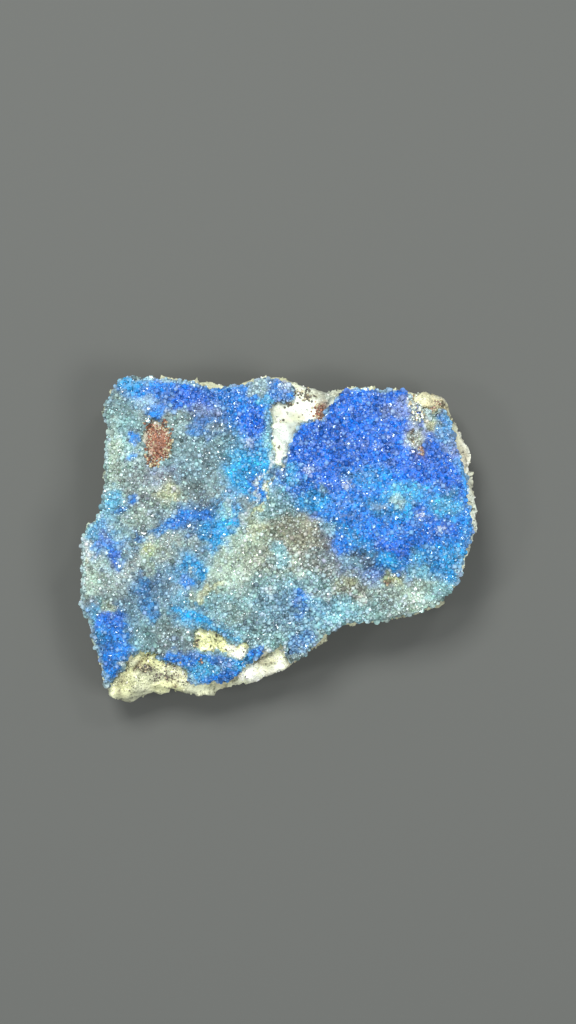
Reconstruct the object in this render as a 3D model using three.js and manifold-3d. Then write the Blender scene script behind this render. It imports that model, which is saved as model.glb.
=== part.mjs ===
// A hand specimen of kinoite: a slab of pale host rock that lies on its broken back, with a
// crust of small crystals grown over its face. The crust is broken away in six places, where
// the bare rock shows.
// Millimetres. +X runs along the longest side, +Y across it and +Z out of the crystal face.
// The origin is under the middle of the slab, on the plane it rests on.

import * as THREE from "three";
import { mergeVertices } from "three/addons/utils/BufferGeometryUtils.js";
import Module from "manifold-3d";

const wasm = await Module();
wasm.setup();

// Driving sizes
const LENGTH = 58;
const BREADTH = 48.1;
const FACE_LEVEL = 11.6;
const CRUST = 1.3;
const GAP = 0.3;

// Relief of the crystal face
const SHELF_START = [0.6, 10.6];
const SHELF_END = [-13.6, -9.6];
const SHELF_STEP = 1.7;
const SHELF_FADE = 11;
const PLATEAU_START = [1.8, 6.9];
const PLATEAU_END = [25.1, -8.0];
const PLATEAU_STEP = 0.5;
const FOOT_LEVEL = -13.5;
const FOOT_SLOPE = 0.26;
const RIM_WIDTH = 2.4;
const RIM_DROP = 1.1;

// Grid spacings and counts
const CRUST_PITCH = 1.55;
const ROCK_PITCH = 3.3;
const BARE_PITCH = 1.3;
const WALL_STEPS = 2 * 81;
const SUNK = 8;
const MARGIN = 1.5;

// The crust's carpet of crystals is a grid whose alternate points rise to a tip
const TIP = { low: 0.35, high: 0.85 };
const VALLEY = { low: 0, high: 0.2 };

// Larger crystals that stand out of the carpet
const CRYSTAL_PITCH = 5;
const CRYSTAL_WIDTH = 1.5;
const CRYSTAL_HEIGHT = 1.05;
const CRYSTAL_ROOT = 0.6;
const CRYSTAL_TILT = 0.45;
const CRYSTAL_FROM_RIM = 1.9;

// The broken back: how deep its hollows are, how far apart, and how much of it they take up
const HOLLOW_DEPTH = 2.2;
const HOLLOW_SIZE = 8;
const HOLLOW_START = 0.12;

// The slab's widest outline, clockwise from its upper left corner. The third number is how far
// the crust's edge stands back from it, which shows the side wall from above.
const OUTLINE = [
  [-22.5, 24.0, 0.2], [-20.2, 23.5, 0.2], [-17.5, 23.2, 0.3], [-15.2, 23.4, 0.8],
  [-12.9, 23.1, 0.9], [-9.4, 22.4, 0.8], [-6.3, 22.6, 0.3], [-4.4, 22.5, 0.2],
  [-3.5, 23.4, 0.3], [-1.9, 23.8, 0.3], [0.6, 23.6, 0.2], [1.9, 22.6, 0.2],
  [5.1, 22.1, 0.3], [7.0, 21.6, 0.3], [9.4, 21.7, 0.2], [12.1, 22.0, 0.1],
  [14.9, 21.5, 0.1], [18.3, 21.7, 0.2], [19.6, 21.3, 0.3], [22.2, 21.0, 0.4],
  [24.4, 20.5, 0.4], [24.8, 19.6, 0.5], [26.3, 17.3, 0.9], [26.9, 16.3, 1.1],
  [26.9, 14.7, 1.2], [28.1, 12.8, 1.6], [28.6, 11.5, 1.6], [28.6, 10.2, 1.4],
  [28.9, 7.8, 1.4], [28.9, 5.5, 1.3], [29.0, 3.1, 0.9], [29.0, 1.1, 0.2],
  [28.6, -1.1, 0.8], [27.8, -2.6, 0.5], [27.2, -4.5, 0.2], [26.4, -6.8, 0.2],
  [25.1, -8.4, 0.2], [24.0, -9.9, 0.2], [22.4, -10.4, 0.2], [19.7, -11.5, 0.3],
  [16.5, -12.0, 0.3], [12.4, -13.0, 0.3], [10.5, -12.9, 0.3], [7.6, -13.7, 0.3],
  [5.8, -15.7, 0.2], [3.5, -17.8, 0.2], [1.0, -19.4, 0.2], [-1.5, -20.7, 0.2],
  [-4.7, -21.3, 0.2], [-6.7, -22.1, 0.4], [-10.2, -22.9, 0.3], [-11.4, -23.6, 0.3],
  [-14.9, -23.0, 0.3], [-17.8, -22.6, 0.3], [-19.6, -23.2, 0.3], [-22.2, -23.9, 0.3],
  [-23.2, -24.1, 0.3], [-24.5, -23.3, 0.2], [-25.7, -21.7, 0.2], [-25.8, -19.1, 0.2],
  [-26.2, -17.0, 0.2], [-27.2, -15.3, 0.2], [-27.5, -12.6, 0.3], [-28.9, -10.3, 0.3],
  [-29.0, -9.4, 0.3], [-28.6, -6.2, 0.2], [-28.8, -2.0, 0.2], [-28.5, 0.7, 0.3],
  [-27.2, 2.3, 0.3], [-26.0, 3.1, 0.3], [-25.6, 6.6, 0.3], [-25.1, 8.7, 0.2],
  [-25.4, 11.3, 0.2], [-25.1, 14.5, 0.2], [-24.8, 16.0, 0.2], [-25.4, 17.8, 0.2],
  [-25.4, 19.4, 0.2], [-24.4, 21.3, 0.2], [-23.5, 22.9, 0.2],
];

// Levels of the side wall, from the resting face up: height, how far the wall stands inside
// the widest outline, how rough it is broken there, and its share of the crust's set-back.
const WALL = [
  { level: 0, inset: 4.4, rough: 1.5, ledge: 0 },
  { level: 1.4, inset: 2.3, rough: 1.2, ledge: 0 },
  { level: 3.6, inset: 0.9, rough: 0.7, ledge: 0 },
  { level: 6.4, inset: 0, rough: 0.12, ledge: 0 },
  { level: 9.2, inset: 0.05, rough: 0.12, ledge: 0.75 },
  { level: 19, inset: 0.1, rough: 0.1, ledge: 1 },
];
const LEVEL_JITTER = 0.8;

// Where the crust is broken away: how far the bare rock lies below the crystal face, and the
// outline of the break.
const BARE = {
  vein: {
    depth: 0.55,
    outline: [
      [1.9, 23.4], [3.2, 23.2], [6.1, 22.6], [9.5, 22.4], [8.8, 20.2], [7.3, 19.8],
      [7.5, 18.6], [6.9, 17.2], [3.7, 16.8], [2.2, 15.1], [1.5, 12.6], [1.0, 10.4],
      [0.3, 9.9], [-0.6, 10.6], [-0.7, 12.5], [-1.2, 16.4], [-0.9, 19.6], [1.8, 19.8],
      [2.8, 20.4], [2.2, 21.5],
    ],
  },
  corner: {
    depth: 0.35,
    outline: [
      [18.4, 22.6], [22.2, 22.3], [25.6, 21.6], [25.7, 19.5], [23.8, 18.8], [23.1, 18.2],
      [22.8, 17.0], [21.9, 17.3], [21.5, 18.9], [19.6, 20.1],
    ],
  },
  foot: {
    depth: 1.0,
    outline: [
      [-21.5, -17.5], [-20.2, -16.7], [-18.0, -16.7], [-16.8, -18.3], [-14.6, -18.6],
      [-13.4, -19.4], [-12.0, -21.4], [-9.9, -21.7], [-6.7, -21.3], [-6.1, -22.9],
      [-10.7, -25.2], [-23.1, -25.6], [-25.3, -24.5], [-24.7, -21.7], [-23.5, -19.9],
    ],
  },
  heel: {
    depth: 0.7,
    outline: [
      [-4.8, -18.8], [-2.9, -18.2], [-1.2, -17.2], [0.6, -16.4], [1.6, -16.3], [1.3, -17.9],
      [1.8, -20.4], [-1.2, -22.8], [-5.9, -22.9], [-6.0, -20.4],
    ],
  },
  window: {
    depth: 0.5,
    outline: [
      [-12.0, -13.5], [-10.4, -13.7], [-8.5, -14.0], [-7.0, -15.7], [-4.8, -15.0],
      [-4.1, -16.0], [-5.1, -17.9], [-6.7, -17.8], [-7.9, -17.2], [-10.7, -17.2],
      [-12.4, -15.8],
    ],
  },
  garnet: {
    depth: 0.25,
    outline: [
      [-19.0, 16.7], [-17.8, 17.2], [-16.5, 16.3], [-15.6, 15.0], [-15.6, 11.9],
      [-16.8, 11.0], [-18.1, 10.3], [-19.1, 12.8], [-19.9, 14.5],
    ],
  },
};

const clamp01 = (t) => Math.min(1, Math.max(0, t));
const smooth = (t) => clamp01(t) ** 2 * (3 - 2 * clamp01(t));
const mix = (a, b, t) => a + (b - a) * t;

// The same number from 0 to 1 each time for a place on a whole-number lattice.
function lattice(i, j, k = 0) {
  const s = Math.sin(i * 127.1 + j * 311.7 + k * 74.7) * 43758.5453;
  return s - Math.floor(s);
}

// Smooth noise from -1 to 1, with features about one unit apart.
function noise(x, y, layer = 0) {
  const i = Math.floor(x);
  const j = Math.floor(y);
  const u = smooth(x - i);
  const v = smooth(y - j);
  const low = mix(lattice(i, j, layer), lattice(i + 1, j, layer), u);
  const high = mix(lattice(i, j + 1, layer), lattice(i + 1, j + 1, layer), u);
  return 2 * mix(low, high, v) - 1;
}

// How far a point lies from a segment, and where along it, from 0 to 1.
function fromSegment([x, y], [ax, ay], [bx, by]) {
  const [dx, dy] = [bx - ax, by - ay];
  const along = clamp01(((x - ax) * dx + (y - ay) * dy) / (dx * dx + dy * dy));
  return { away: Math.hypot(x - ax - along * dx, y - ay - along * dy), along };
}

function distanceTo(outline, point) {
  const gaps = outline.map((a, i) => fromSegment(point, a, outline[(i + 1) % outline.length]).away);
  return Math.min(...gaps);
}

function isInside(outline, [x, y]) {
  let inside = false;
  outline.forEach(([ax, ay], i) => {
    const [bx, by] = outline[(i + 1) % outline.length];
    if (ay > y !== by > y && x < ax + ((y - ay) / (by - ay)) * (bx - ax)) inside = !inside;
  });
  return inside;
}

// Signed distance to the left of a line, and how far along it a point lies, from 0 to 1.
function besideLine(x, y, [ax, ay], [bx, by]) {
  const length = Math.hypot(bx - ax, by - ay);
  const [ux, uy] = [(bx - ax) / length, (by - ay) / length];
  return {
    left: (y - ay) * ux - (x - ax) * uy,
    along: ((x - ax) * ux + (y - ay) * uy) / length,
  };
}

const dome = (x, y, cx, cy, rx, ry) => Math.exp(-(((x - cx) / rx) ** 2) - ((y - cy) / ry) ** 2);

// Height of the crystal face. A step runs down from the vein and falls away behind it, the
// deep blue corner stands a little proud, and the foot slopes down to the broken edge.
function faceHeight(x, y) {
  const shelf = besideLine(x, y, SHELF_START, SHELF_END);
  const shelfEnds = smooth((shelf.along + 0.12) * 5) * smooth((1.12 - shelf.along) * 4);
  const shelfRise = smooth(shelf.left / 1.4 + 0.5) * Math.exp(-Math.max(0, shelf.left) / SHELF_FADE);
  const plateau = besideLine(x, y, PLATEAU_START, PLATEAU_END);
  const plateauRise = smooth(plateau.left / 1.6 + 0.5) * smooth((plateau.along + 0.25) * 4);
  let height = FACE_LEVEL;
  height += SHELF_STEP * shelfEnds * shelfRise;
  height += PLATEAU_STEP * plateauRise;
  height += 0.9 * dome(x, y, 16, 3, 12, 9);
  height += 0.7 * dome(x, y, -23, -3, 8, 10);
  height -= 1.0 * dome(x, y, -9, 5, 7, 9);
  height -= 0.7 * dome(x, y, 2, -12, 10, 5);
  height -= FOOT_SLOPE * Math.max(0, FOOT_LEVEL - y) * smooth((6 - x) / 10);
  height += 0.45 * noise(x / 6.5, y / 6.5) + 0.25 * noise(x / 2.6, y / 2.6, 1);
  const rim = clamp01(1 - distanceTo(OUTLINE, [x, y]) / RIM_WIDTH);
  return height - RIM_DROP * rim ** 2;
}

function bareHeight(x, y) {
  const areas = Object.values(BARE);
  const away = areas.map((a) => (isInside(a.outline, [x, y]) ? 0 : distanceTo(a.outline, [x, y])));
  const nearest = areas[away.indexOf(Math.min(...away))];
  return faceHeight(x, y) - nearest.depth + 0.22 * noise(x / 1.3, y / 1.3, 2);
}

// A closed manifold solid from a three.js geometry, welded at its shared corners.
function solidFrom(geometry) {
  geometry.deleteAttribute("normal");
  geometry.deleteAttribute("uv");
  const welded = mergeVertices(geometry, 1e-4);
  return new wasm.Manifold(
    new wasm.Mesh({
      numProp: 3,
      vertProperties: welded.attributes.position.array,
      triVerts: new Uint32Array(welded.index.array),
    }),
  );
}

// Everything below a height function: a gridded box whose top is lifted to it. Its grid points
// are shaken sideways by a share of the spacing, so that the facets don't line up.
function groundBelow(heightAt, pitch, shake, lumpAt = () => 0) {
  const width = LENGTH + 2 * MARGIN;
  const depth = BREADTH + 2 * MARGIN;
  const columns = Math.round(width / pitch);
  const rows = Math.round(depth / pitch);
  const box = new THREE.BoxGeometry(width, depth, SUNK, columns, rows, 1);
  const position = box.attributes.position;
  for (let n = 0; n < position.count; n++) {
    if (position.getZ(n) < 0) {
      position.setZ(n, -SUNK);
      continue;
    }
    const [px, py] = [position.getX(n), position.getY(n)];
    const onEdge = Math.abs(px) > width / 2 - 1e-3 || Math.abs(py) > depth / 2 - 1e-3;
    const reach = onEdge ? 0 : shake * pitch;
    const [i, j] = [Math.round(px / pitch), Math.round(py / pitch)];
    const x = px + reach * (2 * lattice(i, j, 3) - 1);
    const y = py + reach * (2 * lattice(i, j, 4) - 1);
    position.setXYZ(n, x, y, heightAt(x, y) + lumpAt(i, j));
  }
  return solidFrom(box);
}

// How far a grid point of the crystal carpet rises: alternate points are tips.
function carpetLump(i, j) {
  const { low, high } = (i + j) % 2 === 0 ? TIP : VALLEY;
  return mix(low, high, lattice(i, j, 5));
}

// A point of the widest outline at a share of the way round, with the crust's set-back there.
function onOutline(share) {
  const place = share * OUTLINE.length;
  const i = Math.floor(place) % OUTLINE.length;
  const t = place - Math.floor(place);
  const [a, b] = [OUTLINE[i], OUTLINE[(i + 1) % OUTLINE.length]];
  return { x: mix(a[0], b[0], t), y: mix(a[1], b[1], t), ledge: mix(a[2], b[2], t) };
}

// The slab's broken side wall: a drum whose rings are bent to the outline, each drawn in
// towards the middle by its own inset and roughness.
function wallDrum() {
  const bands = WALL.length - 1;
  const drum = new THREE.CylinderGeometry(1, 1, bands, WALL_STEPS, bands);
  const position = drum.attributes.position;
  for (let n = 0; n < position.count; n++) {
    const ring = Math.round(position.getY(n) + bands / 2);
    const { level, inset, rough, ledge } = WALL[ring];
    const [across, along] = [position.getX(n), position.getZ(n)];
    if (Math.hypot(across, along) < 0.5) {
      position.setXYZ(n, 0, 0, level);
      continue;
    }
    const turn = Math.atan2(along, across) / (2 * Math.PI);
    const step = Math.round((turn + 1) * WALL_STEPS) % WALL_STEPS;
    const edge = onOutline(step / WALL_STEPS);
    const chip = noise(step / 3.1, ring * 5.3, 6) + 0.6 * noise(step / 1.3, ring * 7.7, 7);
    const drawnIn = inset + edge.ledge * ledge + rough * Math.abs(chip);
    const keep = 1 - drawnIn / Math.hypot(edge.x, edge.y);
    const onEndRing = ring === 0 || ring === bands;
    const lift = onEndRing ? 0 : LEVEL_JITTER * noise(step / 4.3, ring * 3.1, 8);
    position.setXYZ(n, edge.x * keep, edge.y * keep, level + lift);
  }
  return solidFrom(drum);
}

// The same outline drawn in along its own normals, for the rock that fills a break.
function shrunk(outline, by) {
  const count = outline.length;
  return outline.map(([x, y], i) => {
    const [ax, ay] = outline[(i + count - 1) % count];
    const [cx, cy] = outline[(i + 1) % count];
    const run = new THREE.Vector2(cx - ax, cy - ay).normalize();
    return [x + run.y * by, y - run.x * by];
  });
}

function prism(outline) {
  const shape = new THREE.Shape(outline.map(([x, y]) => new THREE.Vector2(x, y)));
  const solid = new THREE.ExtrudeGeometry(shape, { depth: 4 * SUNK, bevelEnabled: false });
  return solidFrom(solid);
}

// One crystal: a short four-sided prism under a pyramid, rooted in the crust.
function crystal(x, y, index) {
  const pick = (layer) => lattice(index, 7, layer);
  const width = CRYSTAL_WIDTH * mix(0.75, 1.3, pick(1));
  const height = CRYSTAL_HEIGHT * mix(0.7, 1.3, pick(2));
  const profile = [
    new THREE.Vector2(0, -CRYSTAL_ROOT),
    new THREE.Vector2(width / 2, -CRYSTAL_ROOT),
    new THREE.Vector2(width / 2, height * 0.45),
    new THREE.Vector2(0, height),
  ];
  const geometry = new THREE.LatheGeometry(profile, 4);
  geometry.rotateX(Math.PI / 2);
  geometry.rotateZ(pick(3) * Math.PI);
  geometry.rotateX(CRYSTAL_TILT * (2 * pick(4) - 1));
  geometry.rotateY(CRYSTAL_TILT * (2 * pick(5) - 1));
  geometry.translate(x, y, faceHeight(x, y) + 0.15);
  return solidFrom(geometry);
}

// Crystals on a shaken lattice, clear of the rim and of the bare rock.
function crystalPlaces() {
  const places = [];
  const columns = Math.ceil(LENGTH / CRYSTAL_PITCH);
  const rows = Math.ceil(BREADTH / CRYSTAL_PITCH);
  for (let j = 0; j <= rows; j++) {
    for (let i = 0; i <= columns; i++) {
      const shakeX = (lattice(i, j, 9) - 0.5) * 0.7;
      const shakeY = (lattice(i, j, 10) - 0.5) * 0.7;
      const x = (i + (j % 2) / 2 + shakeX) * CRYSTAL_PITCH - LENGTH / 2;
      const y = (j + shakeY) * CRYSTAL_PITCH - BREADTH / 2;
      const clear = Object.values(BARE).every(
        ({ outline }) => !isInside(outline, [x, y]) && distanceTo(outline, [x, y]) > CRYSTAL_WIDTH,
      );
      const fromRim = distanceTo(OUTLINE, [x, y]);
      const inland = isInside(OUTLINE, [x, y]) && fromRim > CRYSTAL_FROM_RIM;
      if (clear && inland) places.push([x, y]);
    }
  }
  return places;
}

function mesh(name, solid, look) {
  const made = solid.getMesh();
  const geometry = new THREE.BufferGeometry();
  geometry.setAttribute("position", new THREE.BufferAttribute(made.vertProperties, 3));
  geometry.setIndex(new THREE.BufferAttribute(made.triVerts, 1));
  const part = new THREE.Mesh(geometry, new THREE.MeshStandardMaterial({ ...look, flatShading: true }));
  part.name = name;
  geometry.computeVertexNormals();
  return part;
}

const wall = wallDrum();
const underCrust = (drop) => (x, y) => faceHeight(x, y) - CRUST - drop;

// The hollows of the broken back lie above the resting plane. Between them it stays flat.
function hollowHeight(x, y) {
  const swell = noise(x / HOLLOW_SIZE, y / HOLLOW_SIZE, 11) - HOLLOW_START;
  return HOLLOW_DEPTH * swell + 0.3 * noise(x / 2.4, y / 2.4, 12);
}

// The pale rock: everything under the crust, and up into each place where the crust is gone.
function hostRock() {
  const bare = groundBelow(bareHeight, BARE_PITCH, 0.3);
  let rock = groundBelow(underCrust(GAP), ROCK_PITCH, 0.25);
  for (const { outline } of Object.values(BARE)) {
    rock = rock.add(prism(shrunk(outline, GAP)).intersect(bare));
  }
  return wall.intersect(rock).subtract(groundBelow(hollowHeight, ROCK_PITCH, 0.25));
}

// The crystal crust: a broken sheet over the rock, with its crystals fused to it.
function crystalCrust() {
  let crust = wall.intersect(groundBelow(faceHeight, CRUST_PITCH, 0.3, carpetLump));
  crust = crust.subtract(groundBelow(underCrust(0), ROCK_PITCH, 0.25));
  for (const { outline } of Object.values(BARE)) {
    crust = crust.subtract(prism(outline));
  }
  crystalPlaces().forEach(([x, y], index) => {
    crust = crust.add(crystal(x, y, index));
  });
  return crust;
}

const specimen = new THREE.Group();
specimen.add(mesh("host_rock", hostRock(), { color: 0xd8d1b2, roughness: 0.9, metalness: 0 }));
specimen.add(mesh("crystal_crust", crystalCrust(), { color: 0x5b93cf, roughness: 0.35, metalness: 0 }));

export default specimen;
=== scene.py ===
"""A kinoite specimen: pale skarn rock under a crust of small clear crystals, coloured by the
blue mineral and the grey quartz below them. Lengths are in millimetres until a mesh is made."""

import math

import bpy
import numpy as np
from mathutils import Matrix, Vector
from mathutils.bvhtree import BVHTree


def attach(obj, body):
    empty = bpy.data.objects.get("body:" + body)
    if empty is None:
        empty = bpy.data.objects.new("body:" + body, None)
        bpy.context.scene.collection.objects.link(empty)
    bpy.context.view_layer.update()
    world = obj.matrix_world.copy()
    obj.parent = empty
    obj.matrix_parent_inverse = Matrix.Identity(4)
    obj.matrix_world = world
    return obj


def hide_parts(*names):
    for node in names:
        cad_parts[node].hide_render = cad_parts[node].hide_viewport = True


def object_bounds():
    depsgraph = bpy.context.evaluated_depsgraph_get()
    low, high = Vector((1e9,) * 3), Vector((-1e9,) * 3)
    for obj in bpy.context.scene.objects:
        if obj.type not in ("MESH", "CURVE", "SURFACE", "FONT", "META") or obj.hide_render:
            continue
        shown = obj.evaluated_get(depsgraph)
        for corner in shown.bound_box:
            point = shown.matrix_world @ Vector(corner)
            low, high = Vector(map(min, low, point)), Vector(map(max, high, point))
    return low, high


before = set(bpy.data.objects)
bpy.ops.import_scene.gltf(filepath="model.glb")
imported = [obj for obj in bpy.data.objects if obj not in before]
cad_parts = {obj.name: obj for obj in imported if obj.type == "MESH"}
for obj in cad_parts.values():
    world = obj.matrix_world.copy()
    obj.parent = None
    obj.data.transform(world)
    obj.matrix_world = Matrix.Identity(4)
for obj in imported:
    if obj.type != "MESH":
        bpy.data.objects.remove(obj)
cad_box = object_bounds()

MM = 0.001
TINY = 1e-9

# Rays that read the CAD solids: over the plan, and towards the middle at each turn and level
PLAN_PITCH = 0.3
PLAN_MARGIN = 1.0
CAST_HEIGHT = 30.0
CAST_DISTANCE = 60.0
WALL_LEVELS = np.arange(0.1, 14.6, 0.45)
TURNS = 720

# How far each reading is smoothed, and the mean radius that makes turns into lengths
SHARE_BLUR = 0.25
RELIEF_BLUR = 1.1
BARE_BLUR = 0.7
BASE_BLUR = 0.6
WALL_BLUR = 0.45
WALL_RADIUS = 26.0

# A ray above this level that meets a wall so far behind the others went over the edge, and no
# wall steps in more than the undercut from one level to the next below
EDGES_ABOVE = 4.0
DEEPEST_CUT = 3.2
DEEPEST_UNDERCUT = 1.2

# Levels at which the walls are read: beside the face, where the slab is widest, and at the foot
SHOULDER_LEVEL = 9.5
WIDEST_LEVEL = 6.4
FOOT_LEVEL = 0.2

# Points across each square grid, and rows of points down the rock's walls
ROCK_GRID = 176
CRUST_GRID = 256
ROCK_RINGS = 42

# How the rock breaks: facets by size, lean and seed, and grain by height and size, flatter by
# a share where it is smooth or covered, and fading towards the foot
ROCK_FACETS = ((3.4, 0.55, 21), (1.5, 0.5, 31))
ROCK_GRAIN = ((0.10, 0.9), (0.06, 0.45))
ROCK_INSET = 0.6
SMOOTHED_SHARE = 0.8
FOOT_FADE = 1.5
LEAST_LIFT = 0.15
LOWEST = 0.01

# Where the bare rock is smooth, on the chalky vein and on the heel: the middle, the two radii
# and how smooth it is
SMOOTH_ROCK = (
    (2.0, 16.5, 4.2, 5.5, 1.0),
    (-2.0, -19.0, 4.5, 2.5, 0.7),
)

# The crust: its thickness, how far it lies below the CAD crust to leave room for the crystals,
# how thin it gets, how far it lies in the rock where it is gone, how far the rock drops under
# its edge, its relief, and the noise that frays its edge, these two by height and size
CRUST_THICKNESS = 1.3
CRUST_SINK = 0.2
THINNEST_CRUST = 0.3
GONE_CRUST = 0.9
UNDER_EDGE = 0.5
CRUST_RELIEF = ((0.22, 1.7), (0.14, 0.7))
EDGE_FRAY = ((0.35, 1.1), (0.2, 0.4))

# The crust's edge: where its level is read, how far it stands out, how much of the wall's
# slope it spans on the left and leaves bare elsewhere, how far it draws in where it is broken
# away, and the band that keeps the height found inside it
CRUST_INSET = 0.8
CRUST_DROP = 0.5
EDGE_OUT = 0.12
LEFT_SPAN = 0.8
WALL_LEFT_BARE = 0.3
BROKEN_INSET = 0.9
EDGE_BAND = 0.9

# Rows of points down the crust's edge, by how far in and how far down from its rim, and the
# point inside the rock that closes its underside
CRUST_EDGE = ((0.0, 0.35), (0.05, 0.75), (0.1, 1.15), (0.7, 1.6), (4.0, 2.2))
UNDERSIDE_POLE = (0.0, 0.0, 6.5)

# Crystal shapes, as rings of height and half width, both in shares of the whole crystal
STUBBY = ((-0.4, 0.5), (0.45, 0.26))
BEVELLED = ((-0.5, 0.46), (0.28, 0.5), (0.52, 0.24))
ROUND_GRAIN = ((-0.5, 0.3), (-0.1, 0.5), (0.25, 0.45), (0.45, 0.2))
CRYSTAL_SIDES = 4
GARNET_SIDES = 6

# The sizes of crystal: the piece, their spacing in squares of the crust's grid, the least and
# greatest width, lean, share of light let through, share of pale ones, which stand partly for
# painted highlights, shape and seed. The finest real crystals are smaller than this, and are
# drawn as wide as they need to show.
DRUSES = (
    ("druse_dust", 2.15, (0.2, 0.38), 0.4, 0.2, 0.3, STUBBY, 69),
    ("druse_fine", 2.0, (0.28, 0.52), 0.35, 0.25, 0.32, STUBBY, 71),
    ("druse_middle", 4.3, (0.42, 0.7), 0.33, 0.3, 0.4, BEVELLED, 75),
    ("druse_large", 8.0, (0.6, 0.98), 0.3, 0.35, 0.6, BEVELLED, 81),
)
GRAIN_WIDTH = (0.18, 0.4)
GARNET_WIDTH = (0.2, 0.42)

# How a crystal stands and how it takes its colour: ice is the cast of clear crystal, and its
# absorption is per metre of depth
HEIGHT_TO_WIDTH = (0.8, 1.4)
ROOT_DEPTH = 0.02
ICE = "#d8eef6"
ICE_SHARE = 0.45
ICE_ABSORPTION = 600.0
# How far pale crystals are cleared towards a light colour: partly pale crystals, partly painted
# highlights
PALE_AND_HIGHLIGHT_CLEARING = (0.3, 0.8)
DULL_CLEARING = (0.0, 0.15)
BRIGHTNESS = (0.35, 1.15)
HUE_SHAKE = (0.92, 1.08)
# Painted shade and light on each crystal: its colour is scaled from the first factor at the root to
# the second at the tip. It is darker at the root as painted shade where it meets the crust, and partly
# for absorption through its depth, and lighter at the tip as a painted highlight
SHADED_ROOT_TO_LIT_TIP = (0.45, 1.25)
MILKY_GROWTH = 0.25
MILKIEST = 0.62
BRIGHTEST = 0.97

# The pale rim where the crust thins out beside bare rock, by share of crust
RIM = "#c2e8ec"
RIM_STRENGTH = 0.6
RIM_SHARES = (0.62, 0.92)

# Loose grains: the share of wall points that carry one, the brightest they get, and how many
# are dark, with more of them on the foot, which lies past these limits
WALL_GRAIN_SHARE = 0.07
BRIGHTEST_GRAIN = 0.95
DARK_SHARE = 0.02
FOOT_DARK_SHARE = 0.15
FOOT_Y = (-14.5, -16.5)
FOOT_X = (-9.0, -12.0)

# How a patch of colour fades along its radius, and the noise that frays its rim and mottles
# the colour in powers of two, by height and size
PATCH_FADE = (1.4, 0.5)
PATCH_FRAY = ((0.9, 2.6), (0.6, 0.8))
MOTTLE = ((0.45, 2.3), (0.45, 0.9))

# Colours of the minerals as they look under the clear crystals, in sRGB
MINERAL = {
    "deep": "#0074ea",
    "blue": "#108aee",
    "denim": "#3480bc",
    "azure": "#24b2f8",
    "sky": "#66c8f2",
    "cyan": "#94d4e0",
    "teal": "#86b0b2",
    "slate": "#5c7e90",
    "grey": "#97aaa6",
    "ash": "#989a80",
    "sage": "#bcd4c0",
    "cream": "#dadfae",
    "straw": "#ccd284",
    "lilac": "#a6b8dc",
    "brown": "#94745f",
    "chalk": "#f2f6e6",
    "milk": "#e0eada",
    "bone": "#dadeba",
    "tan": "#c6bb94",
    "garnet": "#8c5c44",
    # Soot is the colour of dark grains, and also of a painted shadow line under the crust's edge at
    # the foot
    "soot_and_shadow": "#5f584a",
    "lemon": "#dde0a4",
}

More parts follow.
